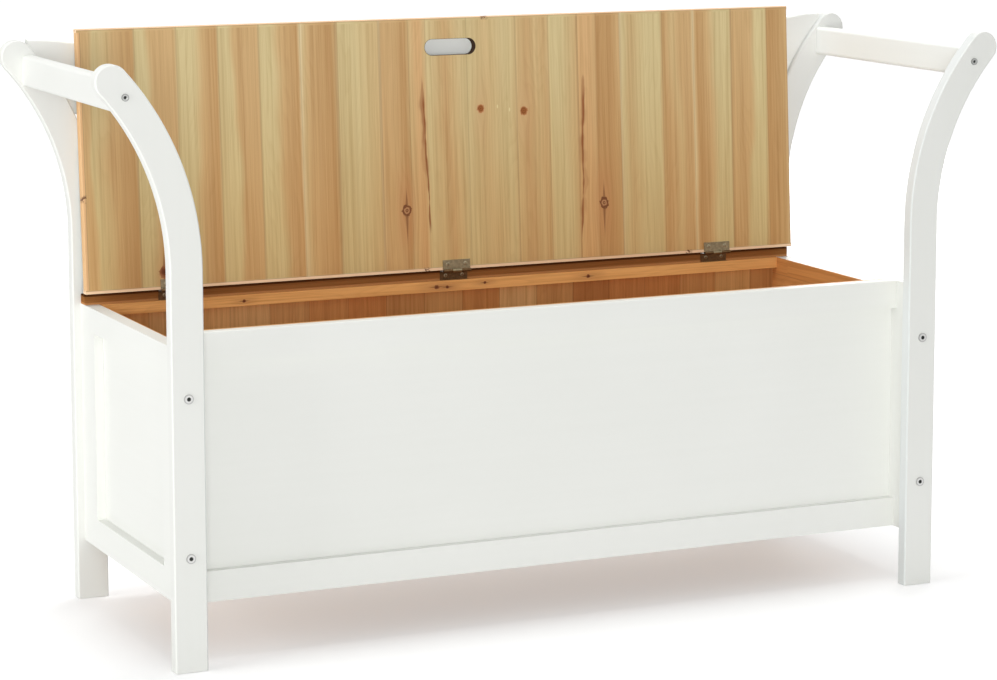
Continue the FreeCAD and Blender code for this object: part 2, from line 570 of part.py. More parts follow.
def bolt(x, height, front, head_radius):
    """A cap bolt with a hexagon socket, its head against a post's outer face."""
    face = "(-overall_depth / 2)" if front else "(overall_depth / 2)"
    inwards, outwards = ("y", "-y") if front else ("-y", "y")
    shank = cylinder("bolt_shank", "bolt_radius", "bolt_long", (x, face, height), inwards)
    head = cylinder("bolt_head", head_radius, "bolt_head_high", (x, face, height), outwards)
    both = doc.addObject("Part::Fuse", "bolt_blank")
    both.Base = head
    both.Tool = shank
    socket = doc.addObject("Part::Prism", "bolt_socket")
    socket.Polygon = 6
    bind(socket, "Circumradius", "socket_radius")
    bind(socket, "Height", "socket_deep + 1")
    sign = "-" if front else "+"
    place(socket, (x, f"{face} {sign} (bolt_head_high + 1)", height), AXIS_TURN[inwards])
    made = doc.addObject("Part::Cut", "bolt")
    made.Base = both
    made.Tool = socket
    return made


def fasteners():
    """The bolts through the posts, into the box and into the arm rails."""
    leg_places = [(f"{side} * {LEG_X}", height) for side in SIDES.values() for height in ("bolt_low", "bolt_top")]
    arm_places = [(f"{side} * {ARM_X}", ARM_Z) for side in SIDES.values()]
    for name, front in (("front", True), ("back", False)):
        group(f"post_bolts_{name}", [bolt(x, z, front, "bolt_head_radius") for x, z in leg_places])
        group(f"arm_bolts_{name}", [bolt(x, z, front, "arm_head_radius") for x, z in arm_places])


def build():
    """Make every piece of the bench."""
    for name, side in SIDES.items():
        post("front_post_" + name, side, "(-overall_depth / 2)")
        post("back_post_" + name, side, BACK_POST_FRONT, carries_crest=True)
        arm_rail(name, side)
        end_frame(name, side)
    crest_rail()
    front_frame()
    back_and_floor()
    lid()
    for name, x in HINGES.items():
        hinge(name, x)
    fasteners()
    doc.recompute()


def write():
    """Check every object, then write each piece to its own STEP file."""
    for thing in doc.Objects:
        if {"Invalid", "Error"} & set(thing.State):
            raise RuntimeError(f"{thing.Label} did not build: {thing.State}")
    for piece in PARTS:
        if piece.Shape.isNull() or not piece.Shape.isValid():
            raise RuntimeError(f"{piece.Label} has no valid shape")
    os.makedirs("parts", exist_ok=True)
    for piece in PARTS:
        piece.Shape.exportStep(f"parts/{piece.Label}.step")
    print(len(PARTS), "pieces written")


build()
write()
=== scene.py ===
import json
import math
import bpy
import numpy as np
from mathutils import Matrix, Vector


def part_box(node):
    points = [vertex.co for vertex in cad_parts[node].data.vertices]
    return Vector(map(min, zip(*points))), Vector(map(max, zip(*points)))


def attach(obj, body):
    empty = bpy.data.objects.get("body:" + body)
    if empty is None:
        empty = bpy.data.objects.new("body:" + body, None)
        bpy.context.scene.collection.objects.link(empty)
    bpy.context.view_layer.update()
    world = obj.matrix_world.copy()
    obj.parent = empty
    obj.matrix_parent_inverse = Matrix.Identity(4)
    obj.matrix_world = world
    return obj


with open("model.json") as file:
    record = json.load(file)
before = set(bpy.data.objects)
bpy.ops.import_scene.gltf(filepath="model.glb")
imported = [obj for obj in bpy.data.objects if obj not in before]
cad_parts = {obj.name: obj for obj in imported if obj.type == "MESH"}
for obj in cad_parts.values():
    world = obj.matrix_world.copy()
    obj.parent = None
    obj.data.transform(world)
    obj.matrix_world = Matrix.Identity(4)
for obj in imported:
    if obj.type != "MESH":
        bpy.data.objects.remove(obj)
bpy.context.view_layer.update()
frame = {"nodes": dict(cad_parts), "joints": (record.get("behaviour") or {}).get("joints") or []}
nodes = frame["nodes"]

# Camera and studio: the bench stands on a plain pale floor, seen from its front left at a little above its own
# height, through a long lens. Soft boxes stand to the front, left and back, with a weak one overhead.
eye = (-1.74007, -3.77929, 1.06887)
yaw, pitch, roll = 0.42909, 0.14119, -0.00084
forward = np.array([math.sin(yaw) * math.cos(pitch), math.cos(yaw) * math.cos(pitch), -math.sin(pitch)])
level = np.array([math.cos(yaw), -math.sin(yaw), 0.0])
upward = np.cross(level, forward)
right = math.cos(roll) * level + math.sin(roll) * upward
upright = -math.sin(roll) * level + math.cos(roll) * upward
camera = bpy.data.objects.new("camera", bpy.data.cameras.new("camera"))
camera.data.sensor_width = 36.0
camera.data.lens = 113.9
camera.data.shift_y = -0.1003
turn = Matrix(np.column_stack([right, upright, -forward]).tolist()).to_4x4()
camera.matrix_world = Matrix.Translation(eye) @ turn
bpy.context.scene.collection.objects.link(camera)
bpy.context.scene.camera = camera
bpy.context.scene.view_settings.view_transform = "Standard"


def area_light(name, place, aim, wide, power):
    """A square soft box that faces a point."""
    lamp = bpy.data.lights.new(name, "AREA")
    lamp.shape = "SQUARE"
    lamp.size = wide
    lamp.energy = power
    thing = bpy.data.objects.new(name, lamp)
    away = np.array(place, float) - np.array(aim, float)
    away /= np.linalg.norm(away)
    side = np.cross([0, 0, 1], away)
    side /= np.linalg.norm(side)
    turn = Matrix(np.column_stack([side, np.cross(away, side), away]).tolist()).to_4x4()
    thing.matrix_world = Matrix.Translation(place) @ turn
    bpy.context.scene.collection.objects.link(thing)


bench_middle = (0, 0, 0.4)
area_light("front_box", (-2.1, -6.4, 0.8), bench_middle, 2.4, 206)
area_light("left_box", (-4.6, -0.5, 1.1), bench_middle, 2.4, 92)
area_light("top_box", (0.1, 0.4, 3.3), bench_middle, 1.6, 44)
area_light("back_box", (3.6, 3.8, 1.7), bench_middle, 3.0, 90)


def blank(tree, kind, *sources, operation=None):
    """One node whose inputs are linked in order."""
    made = tree.nodes.new("ShaderNode" + kind)
    if operation:
        made.operation = operation
    for slot, source in zip(made.inputs, sources):
        tree.links.new(source, slot)
    return made


# The walls are white to the eye and in reflections, and light the bench less than they look
world = bpy.data.worlds.new("studio")
bpy.context.scene.world = world
world.use_nodes = True
walls = world.node_tree
walls.nodes.clear()
ray = blank(walls, "LightPath").outputs
looked_at = ray["Is Camera Ray"]
for kind in ("Is Glossy Ray", "Is Transmission Ray"):
    looked_at = blank(walls, "Math", looked_at, ray[kind], operation="MAXIMUM").outputs[0]
glows = []
for strength in (0.42, 1.0):
    glow = blank(walls, "Background")
    glow.inputs["Color"].default_value = (1, 1, 1, 1)
    glow.inputs["Strength"].default_value = strength
    glows.append(glow.outputs[0])
blank(walls, "OutputWorld", blank(walls, "MixShader", looked_at, *glows).outputs[0])

# The floor is a pale disc just under the feet. What the eye sees of it is lifted, more so far away, until it
# meets the white walls, and the shadow on it stays.
floor_wide, floor_corners, floor_level = 14.0, 64, -0.0004
ring = np.linspace(0, 2 * np.pi, floor_corners + 1)[:-1]
floor_points = np.column_stack([floor_wide * np.cos(ring), floor_wide * np.sin(ring), 0 * ring + floor_level])
floor_mesh = bpy.data.meshes.new("floor")
floor_mesh.from_pydata(floor_points.tolist(), [], [list(range(floor_corners))])
floor = bpy.data.objects.new("floor", floor_mesh)
bpy.context.scene.collection.objects.link(floor)
pale = bpy.data.materials.new("pale_floor")
pale.use_nodes = True
paving = pale.node_tree
matt = paving.nodes["Principled BSDF"]
matt.inputs["Base Color"].default_value = (0.8, 0.8, 0.8, 1)
matt.inputs["Roughness"].default_value = 0.9
matt.inputs["Specular IOR Level"].default_value = 0.1
away = blank(paving, "VectorMath", blank(paving, "TexCoord").outputs["Object"], operation="LENGTH")
lift = blank(paving, "MapRange", away.outputs["Value"])
near_lift, far_lift = (1.0, 0.34), (4.5, 0.72)
for slot, value in zip(lift.inputs[1:], (near_lift[0], far_lift[0], near_lift[1], far_lift[1])):
    slot.default_value = value
to_camera = blank(paving, "Math", blank(paving, "LightPath").outputs["Is Camera Ray"], lift.outputs[0],
                  operation="MULTIPLY")
shine = blank(paving, "Emission")
shine.inputs["Color"].default_value = (1, 1, 1, 1)
paving.links.new(to_camera.outputs[0], shine.inputs["Strength"])
paving.links.new(blank(paving, "AddShader", matt.outputs[0], shine.outputs[0]).outputs[0],
                 paving.nodes["Material Output"].inputs["Surface"])
floor_mesh.materials.append(pale)


# Posts, arm rails and crest rail: solid wood, sawn to shape and sanded smooth, then sprayed with a satin white
# lacquer that leaves the grain as a faint ripple along each piece. The arm rails are bolted between the posts,
# and the crest rail is tenoned into the back ones.
class Nodes:
    """Short calls that add and join the nodes of one material."""

    def __init__(self, name, rough, gloss):
        self.material = bpy.data.materials.new(name)
        self.material.use_nodes = True
        self.tree = self.material.node_tree
        self.surface = self.tree.nodes["Principled BSDF"]
        self.surface.inputs["Roughness"].default_value = rough
        self.surface.inputs["Specular IOR Level"].default_value = gloss

    def add(self, kind, sources=(), **settings):
        """Add a node, set its properties, and fill its inputs in order with sockets or plain values."""
        made = self.tree.nodes.new("ShaderNode" + kind)
        for key, value in settings.items():
            setattr(made, key, value)
        for slot, source in zip(made.inputs, sources):
            self.fill(slot, source)
        return made

    def fill(self, slot, source):
        """Link a socket, or set a plain value; None leaves the input alone."""
        if isinstance(source, bpy.types.NodeSocket):
            self.tree.links.new(source, slot)
        elif source is not None:
            slot.default_value = source

    def math(self, operation, *sources, clamp=False):
        """One Math node's result."""
        return self.add("Math", sources, operation=operation, use_clamp=clamp).outputs[0]

    def plus(self, *sources):
        """The sum of several values."""
        total = sources[0]
        for source in sources[1:]:
            total = self.math("ADD", total, source)
        return total

    def times(self, *sources):
        """The product of several values."""
        total = sources[0]
        for source in sources[1:]:
            total = self.math("MULTIPLY", total, source)
        return total

    def step(self, value, low, high):
        """A smooth step from 0 at low to 1 at high; high may be the lower."""
        ends = (min(low, high), max(low, high), float(low > high), float(low < high))
        return self.add("MapRange", (value, *ends), interpolation_type="SMOOTHSTEP").outputs[0]

    def place(self):
        """The point in the bench's own frame, in metres."""
        return self.add("TexCoord").outputs["Object"]

    def split(self, point):
        """X, Y and Z of a point."""
        return self.add("SeparateXYZ", (point,)).outputs

    def join(self, x, y, z):
        """A point from three values."""
        return self.add("CombineXYZ", (x, y, z)).outputs[0]

    def stretched(self, point, scale):
        """The point with each axis scaled, so that a pattern is drawn out along the small ones."""
        return self.add("VectorMath", (point, scale), operation="MULTIPLY").outputs[0]

    def noise(self, point, scale=1.0, detail=3.0, rough=0.5, extra=None):
        """A noise value about 0.5; extra is a fourth coordinate that gives each board its own pattern."""
        made = self.add("TexNoise", noise_dimensions="4D" if extra is not None else "3D")
        self.fill(made.inputs["Vector"], point)
        if extra is not None:
            self.fill(made.inputs["W"], extra)
        made.inputs["Scale"].default_value = scale
        made.inputs["Detail"].default_value = detail
        made.inputs["Roughness"].default_value = rough
        return made.outputs["Fac"]

    def ramp(self, value, stops, hold=False):
        """A colour ramp of (position, (r, g, b)) stops; hold keeps each colour up to the next stop."""
        made = self.add("ValToRGB", (value,))
        made.color_ramp.interpolation = "CONSTANT" if hold else "LINEAR"
        band = made.color_ramp.elements
        while len(band) < len(stops):
            band.new(1.0)
        for element, (position, colour) in zip(band, stops):
            element.position = position
        for element, (position, colour) in zip(band, stops):
            element.color = (*colour, 1.0)
        return made.outputs["Color"]

    def blend(self, amount, first, second, mode="MIX"):
        """Two colours mixed by an amount."""
        made = self.add("Mix", data_type="RGBA", blend_type=mode)
        for number, source in ((0, amount), (6, first), (7, second)):
            self.fill(made.inputs[number], (*source, 1.0) if isinstance(source, tuple) else source)
        return made.outputs[2]

    def relief(self, height, depth):
        """A bump whose full height is depth metres."""
        made = self.add("Bump")
        made.inputs["Strength"].default_value = 1.0
        made.inputs["Distance"].default_value = depth
        self.fill(made.inputs["Height"], height)
        return made.outputs["Normal"]

    def wear(self, colour, normal):
        """Set the surface's colour and relief, and give back the material."""
        self.fill(self.surface.inputs["Base Color"], colour)
        self.fill(self.surface.inputs["Normal"], normal)
        return self.material


def sprayed_white(n, point, drawn_out):
    """Lacquer colour and height: a slow shade change, faint grain along the piece, and fine orange peel."""
    slow = n.noise(point, 3.0, 2.0)
    grain = n.noise(n.stretched(point, drawn_out), 1.0, 4.0, 0.6)
    shade = n.math("MULTIPLY_ADD", grain, 0.25, n.times(slow, 0.75))
    colour = n.ramp(shade, [(0.3, (0.812, 0.822, 0.782)), (0.7, (0.842, 0.850, 0.815))])
    peel = n.noise(point, 420.0, 1.0)
    return colour, n.math("MULTIPLY_ADD", peel, 0.35, grain)


# How densely the grain's ripple repeats on each axis, by the way a piece runs
LONG_X, LONG_Y, LONG_Z = (2.0, 120.0, 120.0), (120.0, 2.0, 120.0), (120.0, 120.0, 2.0)


def paint(name, drawn_out, shade=1.0, inner=(1.0, 1.0, 1.0)):
    """The white lacquer alone, for pieces painted all over. The shade factor scales the whole white, and inner
    tints the faces that look at the seat: both are painted shade where below 1 and painted light where above 1.
    """
    n = Nodes(name, 0.42, 0.4)
    point = n.place()
    colour, height = sprayed_white(n, point, drawn_out)
    # The whole piece's white is scaled by shade: painted shade on the posts and painted light on the crest
    # rail.
    colour = n.blend(1.0, colour, (shade, shade, shade), "MULTIPLY")
    facing = n.math("MULTIPLY", n.split(n.add("NewGeometry").outputs["Normal"])[0],
                    n.math("SIGN", n.split(point)[0]))
    # The faces that look at the seat get the inner tint: painted shade on the posts and painted light on the
    # arm rails.
    colour = n.blend(n.step(facing, -0.35, -0.85), colour, inner, "MULTIPLY")
    return n.wear(colour, n.relief(height, 0.00005))


def wear_material(node_names, material):
    """Give a finish to CAD pieces."""
    for name in node_names:
        for slot in nodes[name].material_slots:
            slot.material = material


ENDS, SIDES = ("front", "back"), ("left", "right")
# The posts' white is painted darker, and darker and cooler still on their faces toward the seat; the arm rails'
# faces toward the seat are painted paler and cooler, and the crest rail's white is painted lighter: painted
# shade and painted light.
wear_material([f"{end}_post_{side}" for end in ENDS for side in SIDES],
              paint("white_lacquer_upright", LONG_Z, 0.965, (0.900, 0.925, 0.955)))
wear_material([f"arm_rail_{side}" for side in SIDES],
              paint("white_lacquer_deep", LONG_Y, 1.0, (1.045, 1.08, 1.11)))
wear_material(["crest_rail"], paint("white_lacquer_long", LONG_X, 1.05))


# End frames and front: rails and stiles tenoned together round thin panels, which lie in rebates on the inside.
# They are softwood glued from staves, lacquered white outside and bare inside, where it has darkened to orange.
def timber(n, u, v, w, seed, tone, strong=1.0):
    """Colour and height of softwood, from its tone: u across the board, v along it, w through it.

    Rings are a saw-edged wave of the distance across the board, bent by slow noise so that they open into
    arches. Fine fibres and broad cloudy bands run along the board; strong sets how much all of them show.
    """
    sway = n.noise(n.join(n.times(u, 11.0), n.times(v, 1.5), n.times(w, 11.0)), 1.0, 3.0, 0.5, seed)
    ring = n.math("FRACT", n.math("MULTIPLY_ADD", sway, 34.0, n.times(u, 170.0)))
    late = n.times(n.math("POWER", ring, 2.5), n.step(ring, 1.0, 0.80))
    fine = n.noise(n.join(n.times(u, 330.0), n.times(v, 4.0), n.times(w, 330.0)), 1.0, 4.0, 0.65, seed)
    fibre = n.step(fine, 0.38, 0.76)
    cloud = n.noise(n.join(n.times(u, 75.0), n.times(v, 1.3), n.times(w, 75.0)), 1.0, 2.0, 0.5, seed)
    band = n.times(n.step(cloud, 0.35, 0.75), 0.40 * strong)
    dark = n.math("MULTIPLY_ADD", late, 0.28 * strong, n.times(fibre, 0.80 * strong))
    colour = n.blend(dark, tone, (0.64, 0.52, 0.38), "MULTIPLY")
    colour = n.blend(band, colour, (0.66, 0.53, 0.44), "MULTIPLY")
    return colour, n.math("MULTIPLY_ADD", fibre, -0.6, n.times(late, -0.4))


def bent_round(n, u, v, knots):
    """The across distance bent round knots, like the lines of a stream round a post.

    About each knot at (a, b), u loses (u - a) R^2 / distance^2, with the distance along the board squeezed.
    """
    bent = u
    for a, b, size in knots:
        du, dv = n.math("SUBTRACT", u, a), n.math("SUBTRACT", v, b)
        far = n.plus(n.times(du, du), n.times(dv, dv, 0.12), size * size * 0.6)
        bent = n.math("SUBTRACT", bent, n.math("DIVIDE", n.times(du, size * size * 1.6), far))
    return bent


def knot(n, colour, u, v, at, size, rings, halo, tails):
    """Draw one knot: colours by distance from its middle, a tinted halo, and dark tails along the grain.

    rings is ramp stops over twice the knot's size, halo is (colour, amount), and tails is the two lengths.
    """
    du, dv = n.math("SUBTRACT", u, at[0]), n.math("SUBTRACT", v, at[1])
    uneven = n.noise(n.join(n.times(u, 300.0), n.times(v, 240.0), at[0]), 1.0, 2.0)
    far = n.times(n.math("SQRT", n.plus(n.times(du, du), n.times(dv, dv, 0.8))),
                  n.math("MULTIPLY_ADD", uneven, 0.9 / size, 0.55 / size))
    glow = n.times(n.step(n.math("ABSOLUTE", du), size * 3.4, size * 0.5),
                   n.step(n.math("ABSOLUTE", dv), size * 14.0, size * 1.0))
    colour = n.blend(n.times(glow, halo[1]), colour, halo[0])
    if tails:
        up = n.math("DIVIDE", dv, tails[0])
        down = n.math("DIVIDE", dv, -tails[1])
        left = n.math("SUBTRACT", 1.0, n.math("MAXIMUM", up, down), clamp=True)
        wide = n.math("MULTIPLY_ADD", n.times(left, left), size * 0.62, size * 0.14)
        off_line = n.math("DIVIDE", n.math("ABSOLUTE", du), wide)
        tail = n.times(n.step(off_line, 1.0, 0.1), n.step(left, 0.0, 0.55))
        colour = n.blend(n.times(tail, 0.72), colour, (0.20, 0.078, 0.030))
    return n.blend(n.step(far, 1.25, 1.0), colour, n.ramp(n.times(far, 0.5), rings))


# Knots from the middle out: a live one with rings, a plugged dead one, and a pin knot
RINGED = [(0.0, (0.50, 0.25, 0.10)), (0.05, (0.40, 0.18, 0.075)), (0.10, (0.15, 0.055, 0.022)),
          (0.16, (0.30, 0.13, 0.055)), (0.25, (0.52, 0.28, 0.12)), (0.31, (0.36, 0.165, 0.070)),
          (0.38, (0.21, 0.078, 0.030)), (0.52, (0.17, 0.062, 0.024)), (0.62, (0.30, 0.125, 0.050))]
SOLID = [(0.0, (0.17, 0.050, 0.016)), (0.15, (0.34, 0.115, 0.028)), (0.30, (0.24, 0.078, 0.022)),
         (0.42, (0.38, 0.150, 0.048)), (0.52, (0.56, 0.27, 0.12)), (0.65, (0.66, 0.36, 0.18))]
SMALL = [(0.0, (0.10, 0.032, 0.012)), (0.25, (0.16, 0.050, 0.018)), (0.45, (0.30, 0.115, 0.045)),
         (0.62, (0.40, 0.17, 0.07))]

# Tones of darkened staves: mixed, and the even one of the ends
AMBER = [(0.0, (0.50, 0.210, 0.064)), (0.25, (0.76, 0.470, 0.190)), (0.45, (0.62, 0.270, 0.084)),
         (0.7, (0.80, 0.560, 0.260)), (0.85, (0.60, 0.270, 0.084)), (1.0, (0.86, 0.570, 0.250))]
HONEY = [(0.0, (0.70, 0.330, 0.105)), (1.0, (0.78, 0.410, 0.145))]


def staves(n, point, across, along, wide, seed, tones, knots=(), strong=0.8):
    """Glued staves of one width along a named axis; each takes one random tone and its own rings."""
    xyz = n.split(point)
    u, v = xyz["XYZ".index(across)], xyz["XYZ".index(along)]
    w = xyz[3 - "XYZ".index(across) - "XYZ".index(along)]
    place = n.math("DIVIDE", n.math("ADD", u, 10.0 + seed * 0.017), wide)
    number = n.math("FLOOR", place)
    pick = n.add("TexWhiteNoise", (None, number), noise_dimensions="1D").outputs["Value"]
    seam = n.step(n.math("PINGPONG", place, 0.5), 0.0007 / wide, 0.0)
    tone = n.blend(n.times(seam, 0.45), n.ramp(pick, tones), (0.16, 0.06, 0.02))
    colour, height = timber(n, bent_round(n, u, v, knots), v, w, number, tone, strong)
    halo = ((0.36, 0.15, 0.06), 0.35)
    for a, b, size in knots:
        colour = knot(n, colour, u, v, (a, b), size, SMALL, halo, (size * 5, size * 5))
    return colour, height


def bare(name, across, along, wide, seed, tones=AMBER, knots=()):
    """Bare softwood all over."""
    n = Nodes(name, 0.7, 0.2)
    colour, height = staves(n, n.place(), across, along, wide, seed, tones, knots)
    return n.wear(colour, n.relief(height, 0.00012))


def two_faced(name, bare_side, across, along, drawn_out, wide, seed, tones=AMBER, knots=()):
    """Lacquer outside and bare wood on the inner face; bare_side makes a 0-or-1 mask from the point."""
    n = Nodes(name, 0.46, 0.4)
    point = n.place()
    wood, fibres = staves(n, point, across, along, wide, seed, tones, knots)
    white, ripple = sprayed_white(n, point, drawn_out)
    mask = bare_side(n, n.split(point))
    height = n.add("Mix", (mask, None, ripple, fibres)).outputs[0]
    return n.wear(n.blend(mask, white, wood), n.relief(height, 0.00006))


# The spray reaches a little past the edges of the inner faces
in_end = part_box("end_panel_right")[0][0] + 0.0012
in_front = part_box("front_panel")[0][1] + 0.0015


def behind_front(n, xyz):
    """Behind the panel's face in the front frame."""
    return n.math("GREATER_THAN", xyz[1], in_front)


def within_ends(n, xyz):
    """Inside the end frames and behind the front frame."""
    inner = n.math("LESS_THAN", n.math("ABSOLUTE", xyz[0]), in_end)
    return n.times(inner, behind_front(n, xyz))


END_KNOTS = [(0.352, 0.062, 0.006), (0.300, -0.045, 0.005), (0.215, 0.105, 0.006)]
wear_material([f"end_{at}_stile_{side}" for at in ENDS for side in SIDES],
              two_faced("end_frame_upright", within_ends, "Z", "Y", LONG_Z, 0.062, 6, HONEY))
wear_material([f"end_{at}_rail_{side}" for at in ("low", "top") for side in SIDES],
              two_faced("end_frame_level", within_ends, "Z", "Y", LONG_Y, 0.062, 6, HONEY, END_KNOTS))
wear_material([f"end_panel_{side}" for side in SIDES],
              two_faced("end_panel_boards", within_ends, "Z", "Y", LONG_Y, 0.062, 6, HONEY, END_KNOTS))
wear_material(["front_low_rail", "front_top_rail", "front_panel"],
              two_faced("front_boards", behind_front, "Z", "X", LONG_X, 0.07, 7))


# Back, floor and battens: the back board is lacquered outside and bare inside. The floor lies on battens, a
# cleat stiffens the back along its top, and a rail above it carries the hinges, coloured darker as painted
# shade for the lid's shadow. All are bare softwood, glued and screwed.
in_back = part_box("back_board")[0][1] + 0.0005


def before_back(n, xyz):
    """The face of the back board that looks into the box."""
    return n.math("LESS_THAN", xyz[1], in_back)


wear_material(["back_board"], two_faced("back_boards", before_back, "X", "Z", LONG_Z, 0.057, 11))
wear_material(["floor_board"], bare("floor_wood", "Y", "X", 0.07, 13))
for name, places, along, seed in (("batten_wood", ENDS, "X", 18), ("short_batten_wood", SIDES, "Y", 19)):
    wear_material(["floor_cleat_" + place for place in places], bare(name, "Z", along, 0.2, seed))
APRICOT = [(0.0, (0.98, 0.545, 0.195)), (1.0, (0.98, 0.545, 0.195))]
CLEAT_KNOTS = [(0.392, -0.028, 0.0028), (0.391, -0.012, 0.0022), (0.3935, 0.045, 0.0018),
               (0.392, 0.205, 0.0025), (0.3915, -0.31, 0.002)]
wear_material(["back_cleat"], bare("cleat_wood", "Z", "X", 0.2, 17, APRICOT, CLEAT_KNOTS))
# Dark brown for the hinge rail, darker than the other bare wood as painted shade for the lid's shadow over it.
UMBER_SHADED = [(0.0, (0.32, 0.140, 0.044)), (1.0, (0.34, 0.150, 0.048))]


def hinge_rail_material():
    """Rail coloured dark as painted shade, with a painted shadow along its top edge and a painted highlight as
    a paler line along its bottom edge.
    """
    n = Nodes("hinge_rail_wood", 0.9, 0.0)
    point = n.place()
    colour, height = staves(n, point, "Z", "X", 0.2, 23, UMBER_SHADED)
    z = n.split(point)[2]
    rail_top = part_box("hinge_rail")[1][2]
    # Painted shadow along the rail's top edge, under the lid, and a painted highlight as a paler line along its
    # bottom edge.
    painted_gap_shadow = n.step(z, rail_top - 0.0035, rail_top - 0.0015)
    painted_edge_highlight = n.step(z, rail_top - 0.0095, rail_top - 0.0115)
    colour = n.blend(n.times(painted_gap_shadow, 0.90), colour, (0.055, 0.018, 0.006))
    return n.wear(n.blend(n.times(painted_edge_highlight, 0.75), colour, (0.58, 0.28, 0.11)), n.relief(height, 0.00012))


wear_material(["hinge_rail"], hinge_rail_material())


# Lid: a board glued from staves, each olive at one edge and reddish at the other, with thin strips glued on
# all four sides and a finger slot cut through. Its underside and edges are bare, and its upper face is
# lacquered like the box.
pin = np.array(frame["joints"][0]["pos_m"], float)
lean = math.radians(3.7)
lid_up = np.array([0.0, math.sin(lean), math.cos(lean)])
lid_out = np.array([0.0, -math.cos(lean), math.sin(lean)])
half_long, underside, upper_face = 0.531, -0.0024, -0.0154
spray_edge = upper_face + 0.0004


def lid_point(n):
    """The point in the lid's frame: x along it, y from its pins to its free edge, z out of its underside."""
    moved = n.add("VectorMath", (n.place(), tuple(-pin)), operation="ADD").outputs[0]
    y = n.add("VectorMath", (moved, tuple(lid_up)), operation="DOT_PRODUCT").outputs["Value"]
    z = n.add("VectorMath", (moved, tuple(lid_out)), operation="DOT_PRODUCT").outputs["Value"]
    return n.split(moved)[0], y, z


OLIVE, TAN, RUDDY = (0.695, 0.580, 0.310), (0.675, 0.505, 0.255), (0.660, 0.450, 0.218)
DEEP, CREAM, GOLD = (0.585, 0.362, 0.158), (0.770, 0.650, 0.390), (0.715, 0.465, 0.225)
# Joints between the staves, and tones at places across the lid, in millimetres from its middle. The tones are
# in three stretches, because one ramp holds at most 32.
JOINTS = (-531, -454, -395.6, -337.2, -279.8, -220.4, -169.9, -107, -63, -37.5, 24, 98, 149, 192.5, 223, 259.5,
          327.5, 377, 437.5, 497)
TONES = (
    (-531, RUDDY), (-516, RUDDY), (-510, OLIVE), (-492, TAN), (-484, RUDDY), (-454.5, DEEP),
    (-453.5, OLIVE), (-438, OLIVE), (-430, RUDDY), (-396, RUDDY), (-395, OLIVE), (-374, OLIVE), (-362, RUDDY),
    (-337.6, DEEP), (-336.8, OLIVE), (-320, OLIVE), (-311, RUDDY), (-280.2, RUDDY), (-279.4, OLIVE),
    (-260, OLIVE), (-247, RUDDY), (-220.8, DEEP), (-220, CREAM), (-214, TAN), (-206, RUDDY), (-170.4, DEEP),
    (-169.4, OLIVE), (-140, OLIVE), (-107.4, TAN)), (
    (-106.6, CREAM), (-103, RUDDY), (-80, RUDDY), (-64, DEEP), (-62, TAN), (-48, GOLD), (-38, GOLD),
    (-37, OLIVE), (-12, TAN), (0, RUDDY), (12, TAN), (24, OLIVE), (60, TAN), (90, OLIVE), (102, TAN),
    (122, RUDDY), (136, TAN), (148.6, RUDDY), (150, OLIVE), (176, OLIVE), (190, TAN), (197, GOLD), (214, GOLD),
    (222.5, RUDDY), (224, DEEP), (250, DEEP), (259, RUDDY)), (
    (260, CREAM), (265, OLIVE), (276, TAN), (300, OLIVE), (327, OLIVE), (328, DEEP), (337, RUDDY), (348, TAN),
    (358, RUDDY), (376.6, RUDDY), (377.2, CREAM), (380, RUDDY), (386, DEEP), (404, RUDDY), (414, OLIVE),
    (437, OLIVE), (438, RUDDY), (464, RUDDY), (474, OLIVE), (496, OLIVE), (497.4, DEEP), (531, RUDDY))
LIVE_KNOTS = [(-0.0714, 0.0867, 0.0062), (0.2303, 0.0810, 0.0062)]
PLUGGED_KNOTS = [(0.0435, 0.2216, 0.0050), (0.1091, 0.2160, 0.0052)]
SLOT_Y, SLOT_HALF, SLOT_RADIUS = 0.3084, 0.027, 0.011


def share_of_lid(millimetres):
    """A place across the lid as a share of its length."""
    return (millimetres / 1000 + half_long) / (2 * half_long)


def lid_tone(n, x, y):
    """Tone and seed of the lid's staves: joints stay straight, and the change within a stave wanders."""
    part = n.math("DIVIDE", n.math("ADD", x, half_long), 2 * half_long)
    stops = []
    for k, (low, high) in enumerate(zip(JOINTS, JOINTS[1:] + (half_long * 1000,))):
        start, end = share_of_lid(low), share_of_lid(high)
        stops.append((start, (start, end - start, 0.1 + 0.8 * (k * 0.618 % 1))))
    low, wide, seed = n.add("SeparateColor", (n.ramp(part, stops, hold=True),)).outputs
    share = n.math("DIVIDE", n.math("SUBTRACT", part, low), wide)
    wander = n.math("SUBTRACT", n.noise(n.join(n.times(x, 3.0), n.times(y, 4.0), seed), 1.0, 2.0), 0.5)
    inside = n.times(share, n.math("SUBTRACT", 1.0, share), 4.0)
    moved = n.math("ADD", part, n.times(wander, inside, wide, 0.9))
    tone = None
    for stretch in TONES:
        first = share_of_lid(stretch[0][0]) - 0.0002
        made = n.ramp(moved, [(share_of_lid(place), colour) for place, colour in stretch])
        tone = made if tone is None else n.blend(n.math("GREATER_THAN", part, first), tone, made)
    seam = n.step(n.math("MINIMUM", share, n.math("SUBTRACT", 1.0, share)), 0.02, 0.0)
    tone = n.blend(n.times(seam, 0.28), tone, (0.30, 0.15, 0.06))
    return tone, n.times(seed, 40.0)


